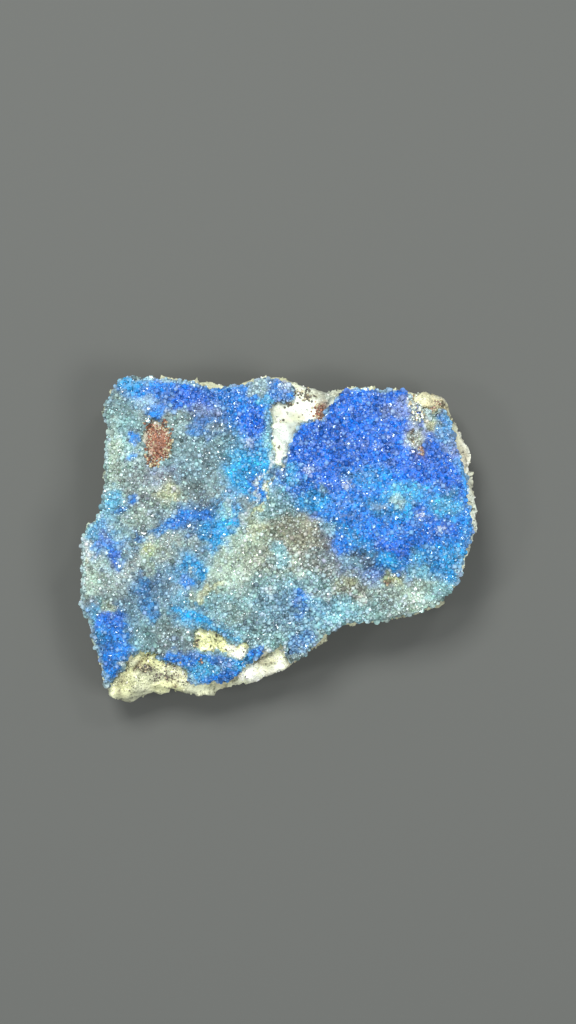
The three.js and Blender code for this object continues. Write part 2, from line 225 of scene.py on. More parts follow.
# Where each mineral lies on the face: its name, the middle of the patch, its two radii, how
# strongly it covers what is under it, and its turn in degrees if it has one. Later ones lie
# over earlier ones.
CRUST_PATCHES = (
    ("teal", -24.5, 17.2, 5.8, 7.3, 0.6),
    ("sage", -26, 9.9, 3.5, 8.8, 0.5),
    ("blue", -12.9, 21.3, 13.1, 2.3, 0.9),
    ("blue", -5.6, 18.3, 6.4, 3.5, 0.9),
    ("azure", -4.7, 10.2, 3.8, 5.3, 0.9),
    ("azure", -7.7, 1.8, 3.8, 3.8, 0.8),
    ("teal", -11.4, 12.8, 7.3, 5.8, 0.6),
    ("denim", -12.9, 3, 5.8, 2, 0.7, 10),
    ("sky", -25.4, 2.6, 3.8, 4.4, 0.5),
    ("blue", -24.8, -1.8, 2.9, 3.2, 0.6),
    ("teal", -18.7, -3.3, 7.3, 4.4, 0.4),
    ("azure", -12.9, -4.7, 3.5, 3.2, 0.7),
    ("denim", -19.4, -7.7, 3.2, 5, 0.6),
    ("denim", -24.3, -15.3, 4.4, 6.4, 0.85),
    ("teal", -18.7, -12.8, 5.8, 5, 0.5),
    ("azure", -10.5, -11.8, 5.8, 2.3, 0.7, -25),
    ("blue", -9.2, -19.1, 8.8, 2.6, 0.9),
    ("teal", -1.2, -12.1, 11.7, 5.8, 0.6),
    ("sage", -5.6, -2.6, 3.8, 8.8, 0.8, -40),
    ("ash", 4.7, -1.1, 8.8, 5, 0.6),
    ("teal", 3.2, -7.7, 10.2, 2.3, 0.5),
    ("blue", 3.2, -10.6, 5.8, 3.2, 0.4),
    ("cyan", 9.8, -10.9, 5.8, 2.6, 0.5),
    ("sage", 19.3, -7.7, 8.8, 3.8, 0.8, 8),
    ("teal", 1, 5.5, 4.1, 3.8, 0.7),
    ("blue", 4.7, 8.4, 4.4, 4.4, 0.8),
    ("deep", 9.8, 14.2, 10.2, 9.4, 1),
    ("deep", 20.7, 11.3, 9.6, 11.7, 1),
    ("deep", 17.8, 2.6, 11.1, 8.8, 1),
    ("blue", 11.2, 1.1, 5, 3.8, 0.9, -45),
    ("azure", 23.7, -4, 5.3, 3.5, 0.7),
    ("sky", 28.1, 5.5, 2, 8.8, 0.5),
    ("teal", -22.9, 17.8, 2.9, 4.1, 0.8),
    ("sage", -24.5, 11.5, 1.5, 5, 0.9),
    ("azure", -21.9, 22.7, 2.6, 1, 0.9),
    ("blue", -17.5, 21.8, 3.5, 1, 0.9),
    ("deep", -12.9, 20.4, 3.5, 1.9, 1),
    ("blue", -8.2, 21.5, 2.3, 1.2, 0.9),
    ("blue", -5.1, 21.5, 2, 1.3, 0.9),
    ("lilac", -11, 18.6, 2.3, 1.3, 0.6),
    ("blue", -6.7, 18, 2.3, 1.8, 0.8),
    ("deep", -3.7, 17, 2, 2.8, 1),
    ("blue", -17.4, 18.5, 1.3, 0.9, 0.9),
    ("blue", -21, 14.4, 0.7, 0.7, 0.8),
    ("blue", -21.5, 12.5, 0.7, 0.6, 0.6),
    ("slate", -10.7, 12.8, 4.1, 4.4, 0.4),
    ("slate", -13.6, 9.9, 2.3, 2, 0.5),
    ("blue", -10.7, 16.6, 1.5, 2, 0.6, 60),
    ("straw", -9.8, 16.3, 1.2, 0.9, 0.35),
    ("azure", -5.1, 11, 2, 2.3, 0.95),
    ("blue", -3.2, 7.8, 1.2, 1.8, 0.95),
    ("azure", -2.3, 13.1, 1, 2, 0.7),
    ("cyan", -1.3, 14.2, 0.7, 4.1, 0.8),
    ("azure", -6.7, 8.7, 1.2, 1.2, 0.6),
    ("slate", -1.5, 9.7, 0.7, 0.6, 0.6),
    ("sage", -7.3, 4.6, 0.6, 1.2, 0.8),
    ("ash", -5.3, 5, 1.2, 1.3, 0.6),
    ("cream", -2.3, 5.9, 0.4, 3.5, 0.8, -32),
    ("cream", -16.1, 6.2, 1.9, 1.8, 0.65),
    ("grey", -20.9, 8.4, 2.3, 2, 0.7),
    ("sky", -24.5, 5.6, 1.2, 1.2, 0.8),
    ("blue", -21.2, 5.3, 1, 0.9, 0.9),
    ("blue", -23.1, 4, 0.7, 0.7, 0.7),
    ("denim", -17.4, 1.2, 1.6, 0.9, 0.9, 10),
    ("blue", -13.9, 2.7, 2.6, 1.1, 0.9, 12),
    ("blue", -10.7, 3.1, 1, 1.3, 0.9),
    ("azure", -8.8, 0.2, 2.2, 1.9, 1),
    ("azure", -6.7, 2.3, 1.3, 1, 0.9),
    ("sky", -27.5, 1.1, 1.3, 2, 0.5),
    ("blue", -25.3, -1.1, 1.2, 1.3, 0.9),
    ("deep", -23.7, -3, 1.2, 1, 0.85),
    ("blue", -20.6, 0.1, 1, 0.7, 0.6),
    ("sage", -20.9, 2.6, 2.3, 1.2, 0.5),
    ("straw", -18.6, -2.1, 1.8, 1.5, 0.75),
    ("grey", -15.8, -2.6, 2.9, 2.3, 0.6),
    ("azure", -12.7, -4, 1.5, 1.6, 0.9),
    ("slate", -14.2, -5.5, 1.8, 1.2, 0.55),
    ("azure", -11.5, -5.5, 0.9, 1, 0.9),
    ("blue", -13.9, -7.1, 1.2, 0.7, 0.85),
    ("sage", -26, -6.2, 2.5, 3.5, 0.7),
    ("straw", -28.5, -4.3, 0.6, 0.7, 0.6),
    ("denim", -19.6, -7.7, 1.3, 2.9, 0.85),
    ("slate", -17.2, -8.8, 2, 2.3, 0.5),
    ("grey", -23.4, -6.9, 1.8, 2.9, 0.6),
    ("grey", -15.5, -15, 2.6, 2, 0.7),
    ("slate", -15, -15.4, 1.6, 1, 0.5),
    ("denim", -18.7, -10.9, 1.2, 1.5, 0.8, 20),
    ("deep", -24.3, -13.1, 2, 1.8, 0.85),
    ("blue", -23.7, -15.9, 1.9, 2.6, 0.9),
    ("blue", -24.5, -19.1, 1.2, 1.8, 0.9),
    ("sky", -26.4, -11.3, 0.7, 2.3, 0.5, -20),
    ("teal", -19.7, -15, 1.9, 2, 0.7),
    ("azure", -13.4, -10.9, 1.5, 0.9, 0.9),
    ("azure", -10.7, -12.1, 2, 0.7, 0.85, -35),
    ("azure", -7.3, -14.1, 1.8, 0.7, 0.85, -25),
    ("cyan", -8.8, -9.4, 2.3, 1.2, 0.5),
    ("blue", -15.5, -17.8, 2.9, 0.6, 0.8),
    ("blue", -11, -18.5, 3.2, 1.2, 0.9),
    ("azure", -5.6, -18.5, 2.3, 1, 0.7),
    ("blue", -8.2, -20.8, 2, 0.9, 0.9),
    ("blue", -2.8, -17.2, 2, 0.7, 0.9, 15),
    ("lilac", -7.9, -18.5, 1.3, 0.9, 0.6),
    ("sky", -18.7, -18.2, 1.8, 0.6, 0.6, -20),
    ("teal", 0.9, 4.7, 2.9, 2, 0.6),
    ("sage", -7.7, -4, 1.9, 3.5, 0.85, -40),
    ("cream", -10.7, -8.3, 3.2, 0.7, 0.7, 22),
    ("sage", -4.7, -1.5, 2, 3.8, 0.8, -42),
    ("ash", 2.9, 1.1, 4.7, 2, 0.7),
    ("ash", 5.8, -0.4, 2.6, 2.3, 0.75),
    ("cream", -2.9, 1.1, 1.5, 2.3, 0.45, -30),
    ("ash", -2.3, -3.3, 3.2, 2.6, 0.35),
    ("cyan", -0.3, -3, 1.3, 1.6, 0.7),
    ("teal", 3.2, -6.5, 5, 1.8, 0.5),
    ("teal", -2.3, -9.7, 5.8, 1.8, 0.45),
    ("ash", 9.4, -7.1, 2.3, 1.8, 0.75),
    ("ash", 11.2, -8, 2, 1.5, 0.7),
    ("grey", 6.1, -3.3, 3.5, 1.2, 0.5),
    ("cyan", 6.1, -8.7, 1.3, 0.9, 0.3),
    ("teal", -1.2, -13.5, 7.3, 2.9, 0.6),
    ("slate", -2.3, -12.3, 4.1, 1.8, 0.4),
    ("sage", -7, -11.3, 3.2, 1.2, 0.4),
    ("blue", 3.2, -8.7, 1.5, 0.7, 0.8),
    ("blue", 3.2, -10.3, 0.9, 0.6, 0.6),
    ("blue", 3.7, -15, 2, 1.5, 0.5),
    ("blue", 2, -16.7, 0.9, 0.7, 0.7),
    ("cyan", 9.8, -10.9, 2.6, 1.3, 0.6),
    ("cyan", 7.6, -12.8, 1.5, 0.7, 0.6, 30),
    ("deep", 6.1, 12.8, 5, 6.7, 1),
    ("deep", 12, 14.2, 6.7, 7.9, 1),
    ("deep", 20.7, 9.9, 6.4, 7.6, 1),
    ("deep", 23.7, 2.6, 4.4, 7.9, 1),
    ("deep", 16.4, 1.1, 6.7, 5, 1),
    ("deep", 9.8, 20.1, 3.5, 2, 1),
    ("deep", 16.1, 20.1, 2.9, 1.8, 1),
    ("blue", 9.8, 4, 3.5, 3.5, 0.9),
    ("blue", 10.5, 0.4, 2.9, 2, 0.9, -45),
    ("azure", 5, 5.5, 2.3, 1.9, 0.9),
    ("sky", 2.2, 9.3, 1.3, 1.8, 0.7),
    ("slate", 6.6, 6.8, 1, 0.9, 0.8),
    ("teal", 6.6, 6.8, 0.4, 0.4, 0.5),
    ("azure", 12.3, 8.7, 2.9, 1.8, 0.6, -25),
    ("azure", 14.9, 9.9, 2.6, 1.8, 0.5),
    ("azure", 16.1, 4.3, 3.8, 2, 0.8),
    ("sky", 18.6, 6.4, 3.5, 1.9, 0.8),
    ("sage", 16.8, 5.3, 1.3, 0.9, 0.7),
    ("sky", 24.5, 4.6, 2.6, 2, 0.8),
    ("blue", 15.6, 1.1, 3.8, 1.5, 0.7),
    ("blue", 21.5, 0.4, 3.5, 2, 0.5),
    ("lilac", 17.5, 18.9, 1.8, 1.3, 0.6),
    ("cream", 19.9, 19.6, 1.3, 1.3, 0.6),
    ("lilac", 19.9, 15.4, 1.8, 2.3, 0.7),
    ("cream", 20.2, 14.5, 1.2, 2, 0.7, -10),
    ("brown", 20.9, 12.6, 0.7, 1, 0.5, 20),
    ("cream", 22.5, 16.9, 0.6, 1.9, 0.7),
    ("sky", 24.5, 18.3, 1.2, 1.3, 0.6),
    ("lilac", 23.2, 20.1, 1.2, 0.9, 0.4),
    ("slate", 20.5, 3, 1.5, 0.9, 0.5),
    ("azure", 16.5, -3.6, 2, 1.3, 0.85),
    ("azure", 25.1, -3.7, 2, 2.6, 0.9),
    ("azure", 21.5, -2.6, 2, 1.8, 0.6),
    ("slate", 12.9, -2.7, 2.2, 1.8, 0.85),
    ("teal", 10.8, -3.6, 1.5, 1.2, 0.6),
    ("sage", 19.6, -7.7, 5, 2.3, 0.9, 10),
    ("cyan", 23.7, -8, 2, 1.9, 0.6),
    ("straw", 16.7, -5.8, 1.8, 1, 0.75),
    ("brown", 16.1, -6.6, 0.7, 0.6, 0.45),
    ("grey", 15.6, -9.1, 3.8, 1.5, 0.6),
    ("teal", 13.7, -10.3, 3.5, 1.3, 0.6),
    ("sage", -3.2, 22.1, 1.2, 0.9, 0.7),
    ("sky", -1.8, 20.4, 1.2, 1.2, 0.8),
    ("blue", -0.1, 21.7, 1.3, 1.3, 0.8),
    ("blue", 1.8, 20.8, 0.9, 0.7, 0.7),
    ("sage", -19.2, 20.4, 1.8, 1, 0.5),
    ("sage", -15.5, 4, 1.3, 0.9, 0.6),
    ("cyan", -7.8, 3.6, 1.2, 1.1, 0.75),
    ("teal", 7.8, 1.9, 1.2, 1.3, 0.8),
    ("sage", -19.7, -4.3, 1.6, 1.4, 0.75),
    ("straw", -25.3, -10.6, 1, 1.3, 0.5),
    ("sage", -23.5, 0.9, 1.3, 0.8, 0.5),
    ("cyan", 24.2, 15.6, 1.5, 2, 0.5, 15),
    ("lilac", 25.4, 13.2, 1, 2.4, 0.6, 15),
    ("cyan", 26.8, 10, 0.8, 2.2, 0.4, 10),
    ("cream", 22.2, 17.8, 0.8, 2, 0.9, -8),
    ("cream", 19.7, 17.6, 1.2, 0.9, 0.45),
    ("cyan", 21, -4.7, 2.4, 1, 0.75),
    ("cyan", 20.2, -2.6, 1.2, 1.3, 0.45),
    ("azure", 24.8, -2.4, 2.2, 2.6, 0.7),
    ("azure", 26.6, 0.5, 1.2, 2.5, 0.5),
    ("soot_and_shadow", 10.5, -8.7, 1.5, 0.8, 0.4),
    ("tan", 7.2, -8.6, 1, 0.8, 0.35),
    ("sky", -11.5, -19.8, 1.2, 0.9, 0.5),
    ("sky", -13.4, -19.3, 2, 0.6, 0.6),
    ("sky", -9.8, -19, 2.4, 0.9, 0.85),
    ("chalk", -0.6, -16.8, 1.8, 0.7, 0.6, 25),
    ("chalk", -22, -18.9, 1.6, 0.5, 0.5, 45),
    ("cyan", -6.6, 11.8, 1, 1.6, 0.4),
    ("chalk", 14.6, 4.2, 0.9, 0.7, 0.35),
    ("lilac", -16.5, 9, 2.6, 1.2, 0.4),
    ("slate", -11.3, 6.4, 1.6, 1.3, 0.4),
    ("straw", -23, 20.6, 1, 0.8, 0.3),
    ("blue", -15.6, -17.9, 2.4, 0.6, 0.9),
    ("milk", -1.2, 12, 0.45, 2.6, 0.75, -22),
    ("milk", -3.2, 7.6, 0.4, 2.6, 0.7, -22),
    ("milk", -4.8, 3.2, 0.5, 2.4, 0.55, -25),
    ("chalk", -28.4, -3, 0.9, 6, 0.45),
    ("chalk", -26.9, 12, 0.6, 8, 0.4),
    ("chalk", -17, 8, 2.2, 0.9, 0.25, 20),
    ("chalk", -21.8, -4.8, 1.6, 1.2, 0.25),
    ("chalk", -15.5, -0.8, 1.6, 0.8, 0.2),
    ("soot_and_shadow", 4.4, 0.6, 1.6, 0.9, 0.3, 10),
    ("soot_and_shadow", -12.6, 8.4, 1.4, 1, 0.3),
    ("soot_and_shadow", 12.9, -2.7, 1.2, 0.9, 0.35),
    ("sky", 11.5, 0.4, 4.6, 0.9, 0.4, -38),
    ("cyan", 2, 6.1, 1.2, 0.9, 0.4),
    ("milk", 5.4, -8.1, 1.6, 0.9, 0.35),
    ("cyan", -14.3, -9.4, 1.4, 0.9, 0.4),
    ("milk", 26.4, -5.6, 0.8, 2.2, 0.5),
    ("lilac", -25.6, -0.2, 0.9, 0.9, 0.4),
    ("sky", -25.3, -14.8, 0.9, 1.4, 0.35),
    ("chalk", -0.4, -17.2, 2, 0.7, 0.4, 25),
    ("milk", 23.1, 17.9, 0.9, 0.7, 0.4),
)

# Places where crystals grew back over the broken rock: the middle and the two radii.
REGROWN = (
    (-15.6, -17.8, 2.4, 0.8),
)

# The same for the bare rock, where the crust is broken away.
ROCK_PATCHES = (
    ("sage", -28, 6, 4, 20, 0.8),
    ("sage", -26.5, -12, 3, 9, 0.5),
    ("milk", 1.2, 14.5, 2.4, 6, 1),
    ("milk", 4.5, 20, 5.5, 3.6, 1),
    ("lemon", 2.5, 17.6, 1.6, 1, 0.45, 20),
    ("lemon", 1, 22.5, 2.2, 1.6, 0.4),
    ("tan", 23.2, 19.6, 2.2, 1.8, 0.65),
    ("chalk", 24.6, 21, 1.4, 0.5, 0.5, -20),
    ("chalk", 27.5, 9, 2.2, 12, 0.85),
    ("tan", 26.8, 12.5, 0.8, 3, 0.5, 15),
    ("milk", 28.5, 2, 1.6, 7, 0.8),
    ("lemon", -8.4, -15.6, 4.2, 2, 0.8),
    ("chalk", -5.4, -16.8, 1.8, 1.2, 0.7),
    ("chalk", -2.2, -19.4, 4, 2.4, 0.8, 25),
    ("lemon", -1.5, -18.6, 2.4, 1, 0.5, 25),
    ("lemon", -18.6, -18, 2.4, 1.6, 0.9),
    ("lemon", -22.8, -21.5, 2.2, 2.6, 0.6),
    ("bone", -13, -21.5, 6, 2.4, 0.6),
    ("chalk", -17.6, 14, 3.2, 4.4, 0.9, 8),
    ("garnet", -17.4, 14.4, 1.6, 2.6, 0.9, 8),
    ("brown", 6.2, 18.6, 1.3, 1.5, 0.9),
    ("ash", 3.8, 20.6, 1.6, 1.2, 0.6),
    ("ash", 5.6, 21.4, 1.2, 0.8, 0.5),
    ("lemon", -16, -22.2, 2.4, 1.4, 0.7),
    ("ash", -18.5, -19.8, 2.6, 0.9, 0.45, -20),
)

# Coloured grains on the bare rock: the mineral, the middle of the spot, its two radii and how
# many grains it has.
GRAIN_SPOTS = (
    ("garnet", -17.5, 13.6, 2, 3.2, 760),
    ("garnet", 5.9, 18.5, 0.7, 1.2, 60),
    ("soot_and_shadow", 3.6, 20.8, 1.3, 0.9, 60),
    ("soot_and_shadow", 1.6, 19.4, 0.5, 0.5, 10),
    ("milk", 20.6, 19.4, 1.3, 1.9, 150),
    ("grey", 20.8, 18.6, 1.2, 1.6, 60),
    ("brown", 20.4, 20.2, 0.5, 0.7, 18),
    # A painted shadow: a thin line of dark grains under the crust's overhanging edge at the foot
    ("soot_and_shadow", -16.5, -18.7, 2, 0.12, 26),
    ("brown", 22.9, 19.4, 1, 0.8, 26),
    ("soot_and_shadow", 24.2, 19.6, 0.4, 0.4, 8),
    ("soot_and_shadow", 19.6, 14.6, 0.35, 1.3, 12),
    ("brown", 20.8, 12.6, 0.5, 0.6, 16),
    ("brown", 16.1, -6.6, 0.6, 0.5, 12),
    ("soot_and_shadow", -19.3, -19.3, 1.6, 0.5, 40),
    ("soot_and_shadow", -16.6, -20.4, 1.5, 0.5, 30),
    ("brown", -11.2, -18.3, 0.35, 0.35, 5),
    ("soot_and_shadow", -11.9, -15.6, 0.5, 0.6, 12),
    ("soot_and_shadow", 0.6, 17, 0.3, 0.3, 4),
    ("soot_and_shadow", 0.3, 13.2, 0.5, 0.3, 7),
)

# Where milky crystals stand together: the middle of each group and its radius.
MILKY_SPOTS = (
    (-4.4, 13.8, 0.7),
    (-18.6, -0.5, 0.9),
    (-12.6, -4.6, 0.6),
    (-5.1, -5.3, 0.7),
    (-2.9, -3.0, 0.8),
    (23.7, 1.1, 0.7),
    (20.7, 3.3, 0.6),
    (10.1, 7.8, 0.7),
    (4.4, 9.7, 0.7),
    (14.3, 13.2, 0.6),
    (0.9, 22.1, 0.7),
    (3.2, -5.3, 0.7),
    (12.3, -9.1, 0.8),
    (-1.2, -7.7, 0.7),
)


# Noise and small helpers

def linear(colour):
    """An sRGB hex colour as linear red, green and blue."""
    values = np.array([int(colour[i : i + 2], 16) for i in (1, 3, 5)]) / 255
    return np.where(values <= 0.04045, values / 12.92, ((values + 0.055) / 1.055) ** 2.4)


def cell_value(cells, seed):
    """A number from 0 to 1 for each whole-number cell, by mixing the bits of its three indices."""
    mixed = (cells * (374761393, 668265263, 2147483629)).sum(-1) + seed * 1274126177
    mixed &= 0xFFFFFFFF
    mixed = ((mixed ^ (mixed >> 13)) * 1274126177) & 0xFFFFFFFF
    return (mixed ^ (mixed >> 16)) / 0xFFFFFFFF


def noise(points, size, seed):
    """Smooth noise from -1 to 1: the eight corner values of each cell, blended by smooth steps."""
    place = points / size
    cells = np.floor(place).astype(np.int64)
    part = place - cells
    part = part * part * (3 - 2 * part)
    total = np.zeros(points.shape[:-1])
    for corner in np.ndindex(2, 2, 2):
        share = np.where(np.array(corner), part, 1 - part).prod(-1)
        total += share * cell_value(cells + np.array(corner), seed)
    return 2 * total - 1


def layered_noise(points, layers, seed):
    """The sum of layers of noise, each by height and size, from seeds that follow each other."""
    return sum(height * noise(points, size, seed + k) for k, (height, size) in enumerate(layers))


def facets(points, size, lean, seed):
    """Fracture facets: each point takes the height of a leaning plane through the nearest of the
    seeds scattered one to a cell, so neighbouring facets meet at a crisp step."""
    cells = np.floor(points / size).astype(np.int64)
    nearest = np.full(points.shape[:-1], np.inf)
    height = np.zeros(points.shape[:-1])
    for step in np.ndindex(3, 3, 3):
        cell = cells + np.array(step) - 1
        jitter = np.stack([cell_value(cell, seed + k) for k in range(3)], -1)
        away = points - (cell + jitter) * size
        distance = (away**2).sum(-1)
        tilt = np.stack([cell_value(cell, seed + 3 + k) for k in range(3)], -1) - 0.5
        closer = distance < nearest
        nearest = np.where(closer, distance, nearest)
        height = np.where(closer, (away * tilt).sum(-1) * lean, height)
    return height


def ramp(value, start, end):
    """Rises from 0 at the start to 1 at the end, level at both: with t the share of the way,
    held between 0 and 1, it is 3 t squared less 2 t cubed. The end may be the lower one."""
    share = np.clip((value - start) / (end - start), 0, 1)
    return share * share * (3 - 2 * share)


def on_plan(turn, radius):
    """The x and y of places at a turn about the middle and a distance from it."""
    return radius * np.cos(turn), radius * np.sin(turn)


def polar(turn, radius, height):
    """Points from their turn about the middle, their distance from it and their height."""
    return np.stack([*on_plan(turn, radius), height], -1)


def flat_points(x, y):
    """The places on the plane at height 0, where noise that runs across the face is read."""
    return np.stack([x, y, np.zeros_like(x)], -1)


def from_middle(x, y, centre_x, centre_y, radius_x, radius_y):
    """How far places are from the middle of an ellipse, in its radii: 1 is on its line."""
    return np.hypot((x - centre_x) / radius_x, (y - centre_y) / radius_y)


def mineral_colour(x, y, base, patches):
    """Linear colour at each place: elliptical patches laid over a base in turn, their rims
    frayed by shifting the place with noise, and faded from full to nothing along the radius.
    All of it is then made lighter and darker by noise in powers of two."""
    place = flat_points(x, y)
    shift_x = layered_noise(place, PATCH_FRAY, 1)
    shift_y = layered_noise(place, PATCH_FRAY, 3)
    colour = np.ones(x.shape + (3,)) * linear(MINERAL[base])
    for mineral, centre_x, centre_y, radius_x, radius_y, cover, *turn in patches:
        c, s = math.cos(math.radians(sum(turn))), math.sin(math.radians(sum(turn)))
        dx, dy = x + shift_x - centre_x, y + shift_y - centre_y
        share = np.hypot((dx * c + dy * s) / radius_x, (dy * c - dx * s) / radius_y)
        weight = (ramp(share, *PATCH_FADE) * cover)[..., None]
        colour = colour * (1 - weight) + linear(MINERAL[mineral]) * weight
    mottle = 2 ** layered_noise(place, MOTTLE, 5)
    return colour * mottle[..., None]


# Reading the frame

def tree_of(node):
    """The CAD node's triangles as a tree for casting rays, in millimetres."""
    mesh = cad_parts[node].data
    mesh.calc_loop_triangles()
    points = np.empty(len(mesh.vertices) * 3)
    mesh.vertices.foreach_get("co", points)
    corners = np.empty(len(mesh.loop_triangles) * 3, np.int32)
    mesh.loop_triangles.foreach_get("vertices", corners)
    return BVHTree.FromPolygons((points.reshape(-1, 3) / MM).tolist(), corners.reshape(-1, 3).tolist())


def cast(tree, starts, directions):
    """How far each ray goes before it meets the tree, and nan where it misses."""
    shape = starts.shape[:-1]
    directions = np.broadcast_to(directions, starts.shape).reshape(-1, 3)
    hits = [tree.ray_cast(Vector(a), Vector(b))[3] for a, b in zip(starts.reshape(-1, 3), directions)]
    return np.array([np.nan if hit is None else hit for hit in hits], float).reshape(shape)


class Chart:
    """Values on an even grid, read between its points by bilinear mixing."""

    def __init__(self, first, second, values):
        self.first, self.second, self.values = first, second, values

    def __call__(self, a, b):
        last_i, last_j = len(self.first) - 1.001, len(self.second) - 1.001
        i = np.clip((a - self.first[0]) / (self.first[1] - self.first[0]), 0, last_i)
        j = np.clip((b - self.second[0]) / (self.second[1] - self.second[0]), 0, last_j)
        low_i, low_j = i.astype(int), j.astype(int)
        u, v = i - low_i, j - low_j
        grid = self.values
        near = grid[low_i, low_j] * (1 - v) + grid[low_i, low_j + 1] * v
        far = grid[low_i + 1, low_j] * (1 - v) + grid[low_i + 1, low_j + 1] * v
        return near * (1 - u) + far * u


def blurred(values, known, axes, reach):
    """Gaussian mean over the known grid points within reach, which also fills in the unknown."""
    across, along = [np.exp(-(((a[:, None] - a[None]) / reach) ** 2) / 2) for a in axes]
    weight = across @ known.astype(float) @ along.T
    return across @ np.where(known, values, 0) @ along.T / np.maximum(weight, 1e-12)


def read_plan(rock_tree, crust_tree):
    """Charts over the plan, from rays cast straight down and up: the share of crust, and the
    levels of the crust, of the bare rock and of the broken back."""
    half_x, half_y = cad_box[1].x / MM + PLAN_MARGIN, cad_box[1].y / MM + PLAN_MARGIN
    plan = (np.arange(-half_x, half_x, PLAN_PITCH), np.arange(-half_y, half_y, PLAN_PITCH))
    plan_x, plan_y = np.meshgrid(*plan, indexing="ij")
    from_above = np.stack([plan_x, plan_y, np.full_like(plan_x, CAST_HEIGHT)], -1)
    from_below = from_above * (1, 1, -1)
    rock_top = CAST_HEIGHT - cast(rock_tree, from_above, (0, 0, -1))
    rock_base = cast(rock_tree, from_below, (0, 0, 1)) - CAST_HEIGHT
    crust_top = CAST_HEIGHT - cast(crust_tree, from_above, (0, 0, -1))
    on_rock = ~np.isnan(rock_top)
    on_crust = ~np.isnan(crust_top) & ~(crust_top < rock_top)
    is_bare = on_rock & ~on_crust
    share = blurred(on_crust.astype(float), on_rock | on_crust, plan, SHARE_BLUR)
    crust = blurred(crust_top, on_crust, plan, RELIEF_BLUR) - CRUST_SINK
    bare = blurred(rock_top, is_bare, plan, BARE_BLUR)
    back = blurred(rock_base, on_rock, plan, BASE_BLUR)
    return [Chart(*plan, values) for values in (share, crust, bare, back)]


def read_walls(rock_tree, crust_tree):
    """A chart of how far the walls are from the middle, by turn and level, from level rays. A
    level that has no wall of its own takes the one below it."""
    angles = np.linspace(-math.pi, math.pi, TURNS + 1)
    outwards = np.stack([np.cos(angles), np.sin(angles), np.zeros_like(angles)], -1)
    starts = outwards[:, None] * CAST_DISTANCE + WALL_LEVELS[None, :, None] * (0, 0, 1)
    rock_reach = CAST_DISTANCE - cast(rock_tree, starts, -outwards[:, None])
    crust_reach = CAST_DISTANCE - cast(crust_tree, starts, -outwards[:, None])
    reach = np.fmax(rock_reach, crust_reach)
    passed_over = reach < np.nanmax(reach, axis=1, keepdims=True) - DEEPEST_CUT
    reach[passed_over & (WALL_LEVELS > EDGES_ABOVE)] = np.nan
    for level in range(1, len(WALL_LEVELS)):
        missing = np.isnan(reach[:, level])
        reach[missing, level] = reach[missing, level - 1]
    for level in range(len(WALL_LEVELS) - 2, -1, -1):
        reach[:, level] = np.fmax(reach[:, level], reach[:, level + 1] - DEEPEST_UNDERCUT)
    reach = blurred(reach, np.ones_like(reach), (angles * WALL_RADIUS, WALL_LEVELS), WALL_BLUR)
    reach[[0, -1]] = (reach[0] + reach[-1]) / 2
    return Chart(angles, WALL_LEVELS, reach)


host_tree, cover_tree = tree_of("host_rock"), tree_of("crystal_crust")
crust_share, crust_level, bare_level, back_level = read_plan(host_tree, cover_tree)
wall_reach = read_walls(host_tree, cover_tree)


# Closed surfaces

def disk_chart(count):
    """A square grid pressed into the unit disk: each square ring of points becomes a circle, its
    corners spread evenly round it. Returns the polar angle and radius of each point."""
    side = np.linspace(-1, 1, count)
    u, v = np.meshgrid(side, side, indexing="ij")
    u, v = np.where(np.abs(u) < TINY, TINY, u), np.where(np.abs(v) < TINY, TINY, v)
    by_u = np.abs(u) > np.abs(v)
    radius = np.where(by_u, u, v)
    turn = np.where(by_u, math.pi / 4 * v / u, math.pi / 2 - math.pi / 4 * u / v)
    x, y = on_plan(turn, radius)
    return np.arctan2(y, x), np.hypot(x, y)


def border(count):
    """Indices of a square grid's border points, in order anticlockwise from its first corner."""
    index = np.arange(count * count).reshape(count, count)
    return np.concatenate([index[:-1, 0], index[-1, :-1], index[:0:-1, -1], index[0, :0:-1]])


def grid_faces(count, start=0, flipped=False):
    """Faces of a square grid of points, which looks up, or down where it is flipped."""
    index = np.arange(count * count).reshape(count, count) + start
    corners = [index[:-1, :-1], index[1:, :-1], index[1:, 1:], index[:-1, 1:]]
    faces = np.stack([c.ravel() for c in corners], -1)
    return faces[:, ::-1] if flipped else faces


def ring_faces(upper, lower):
    """Faces between two closed rows of points, facing away from what they go round."""
    return np.stack([upper, lower, np.roll(lower, -1), np.roll(upper, -1)], -1)


def closed_slab(top, rings, base):
    """One closed surface: a gridded top, rows of points down the side, and under it a gridded
    base, or a single point that the last row closes on."""
    count = top.shape[0]
    rim = border(count)
    points = [top.reshape(-1, 3)]
    faces = [grid_faces(count)]
    upper, total = rim, count * count
    for ring in rings:
        lower = total + np.arange(len(rim))
        points.append(ring)
        faces.append(ring_faces(upper, lower))
        upper, total = lower, total + len(rim)
    points.append(base.reshape(-1, 3))
    if base.ndim == 1:
        pole = np.full(len(rim), total)
        faces.append(np.stack([upper, pole, np.roll(upper, -1)], -1))
    else:
        faces.append(ring_faces(upper, total + rim))
        faces.append(grid_faces(count, total, flipped=True))
    return np.concatenate(points), faces


def normals_of(points, faces):
    """Unit normals at the points: the sum of the cross products of the faces around each."""
    total = np.zeros_like(points)
    for corners in faces:
        first = points[corners[:, 2]] - points[corners[:, 0]]
        second = points[corners[:, -1]] - points[corners[:, 1]]
        normal = np.cross(first, second)
        for column in corners.T:
            np.add.at(total, column, normal)
    return total / np.maximum(np.linalg.norm(total, axis=1, keepdims=True), 1e-12)


def add_object(name, data):
    """A new object in the scene, with the data it shows."""
    made = bpy.data.objects.new(name, data)
    bpy.context.scene.collection.objects.link(made)
    return made


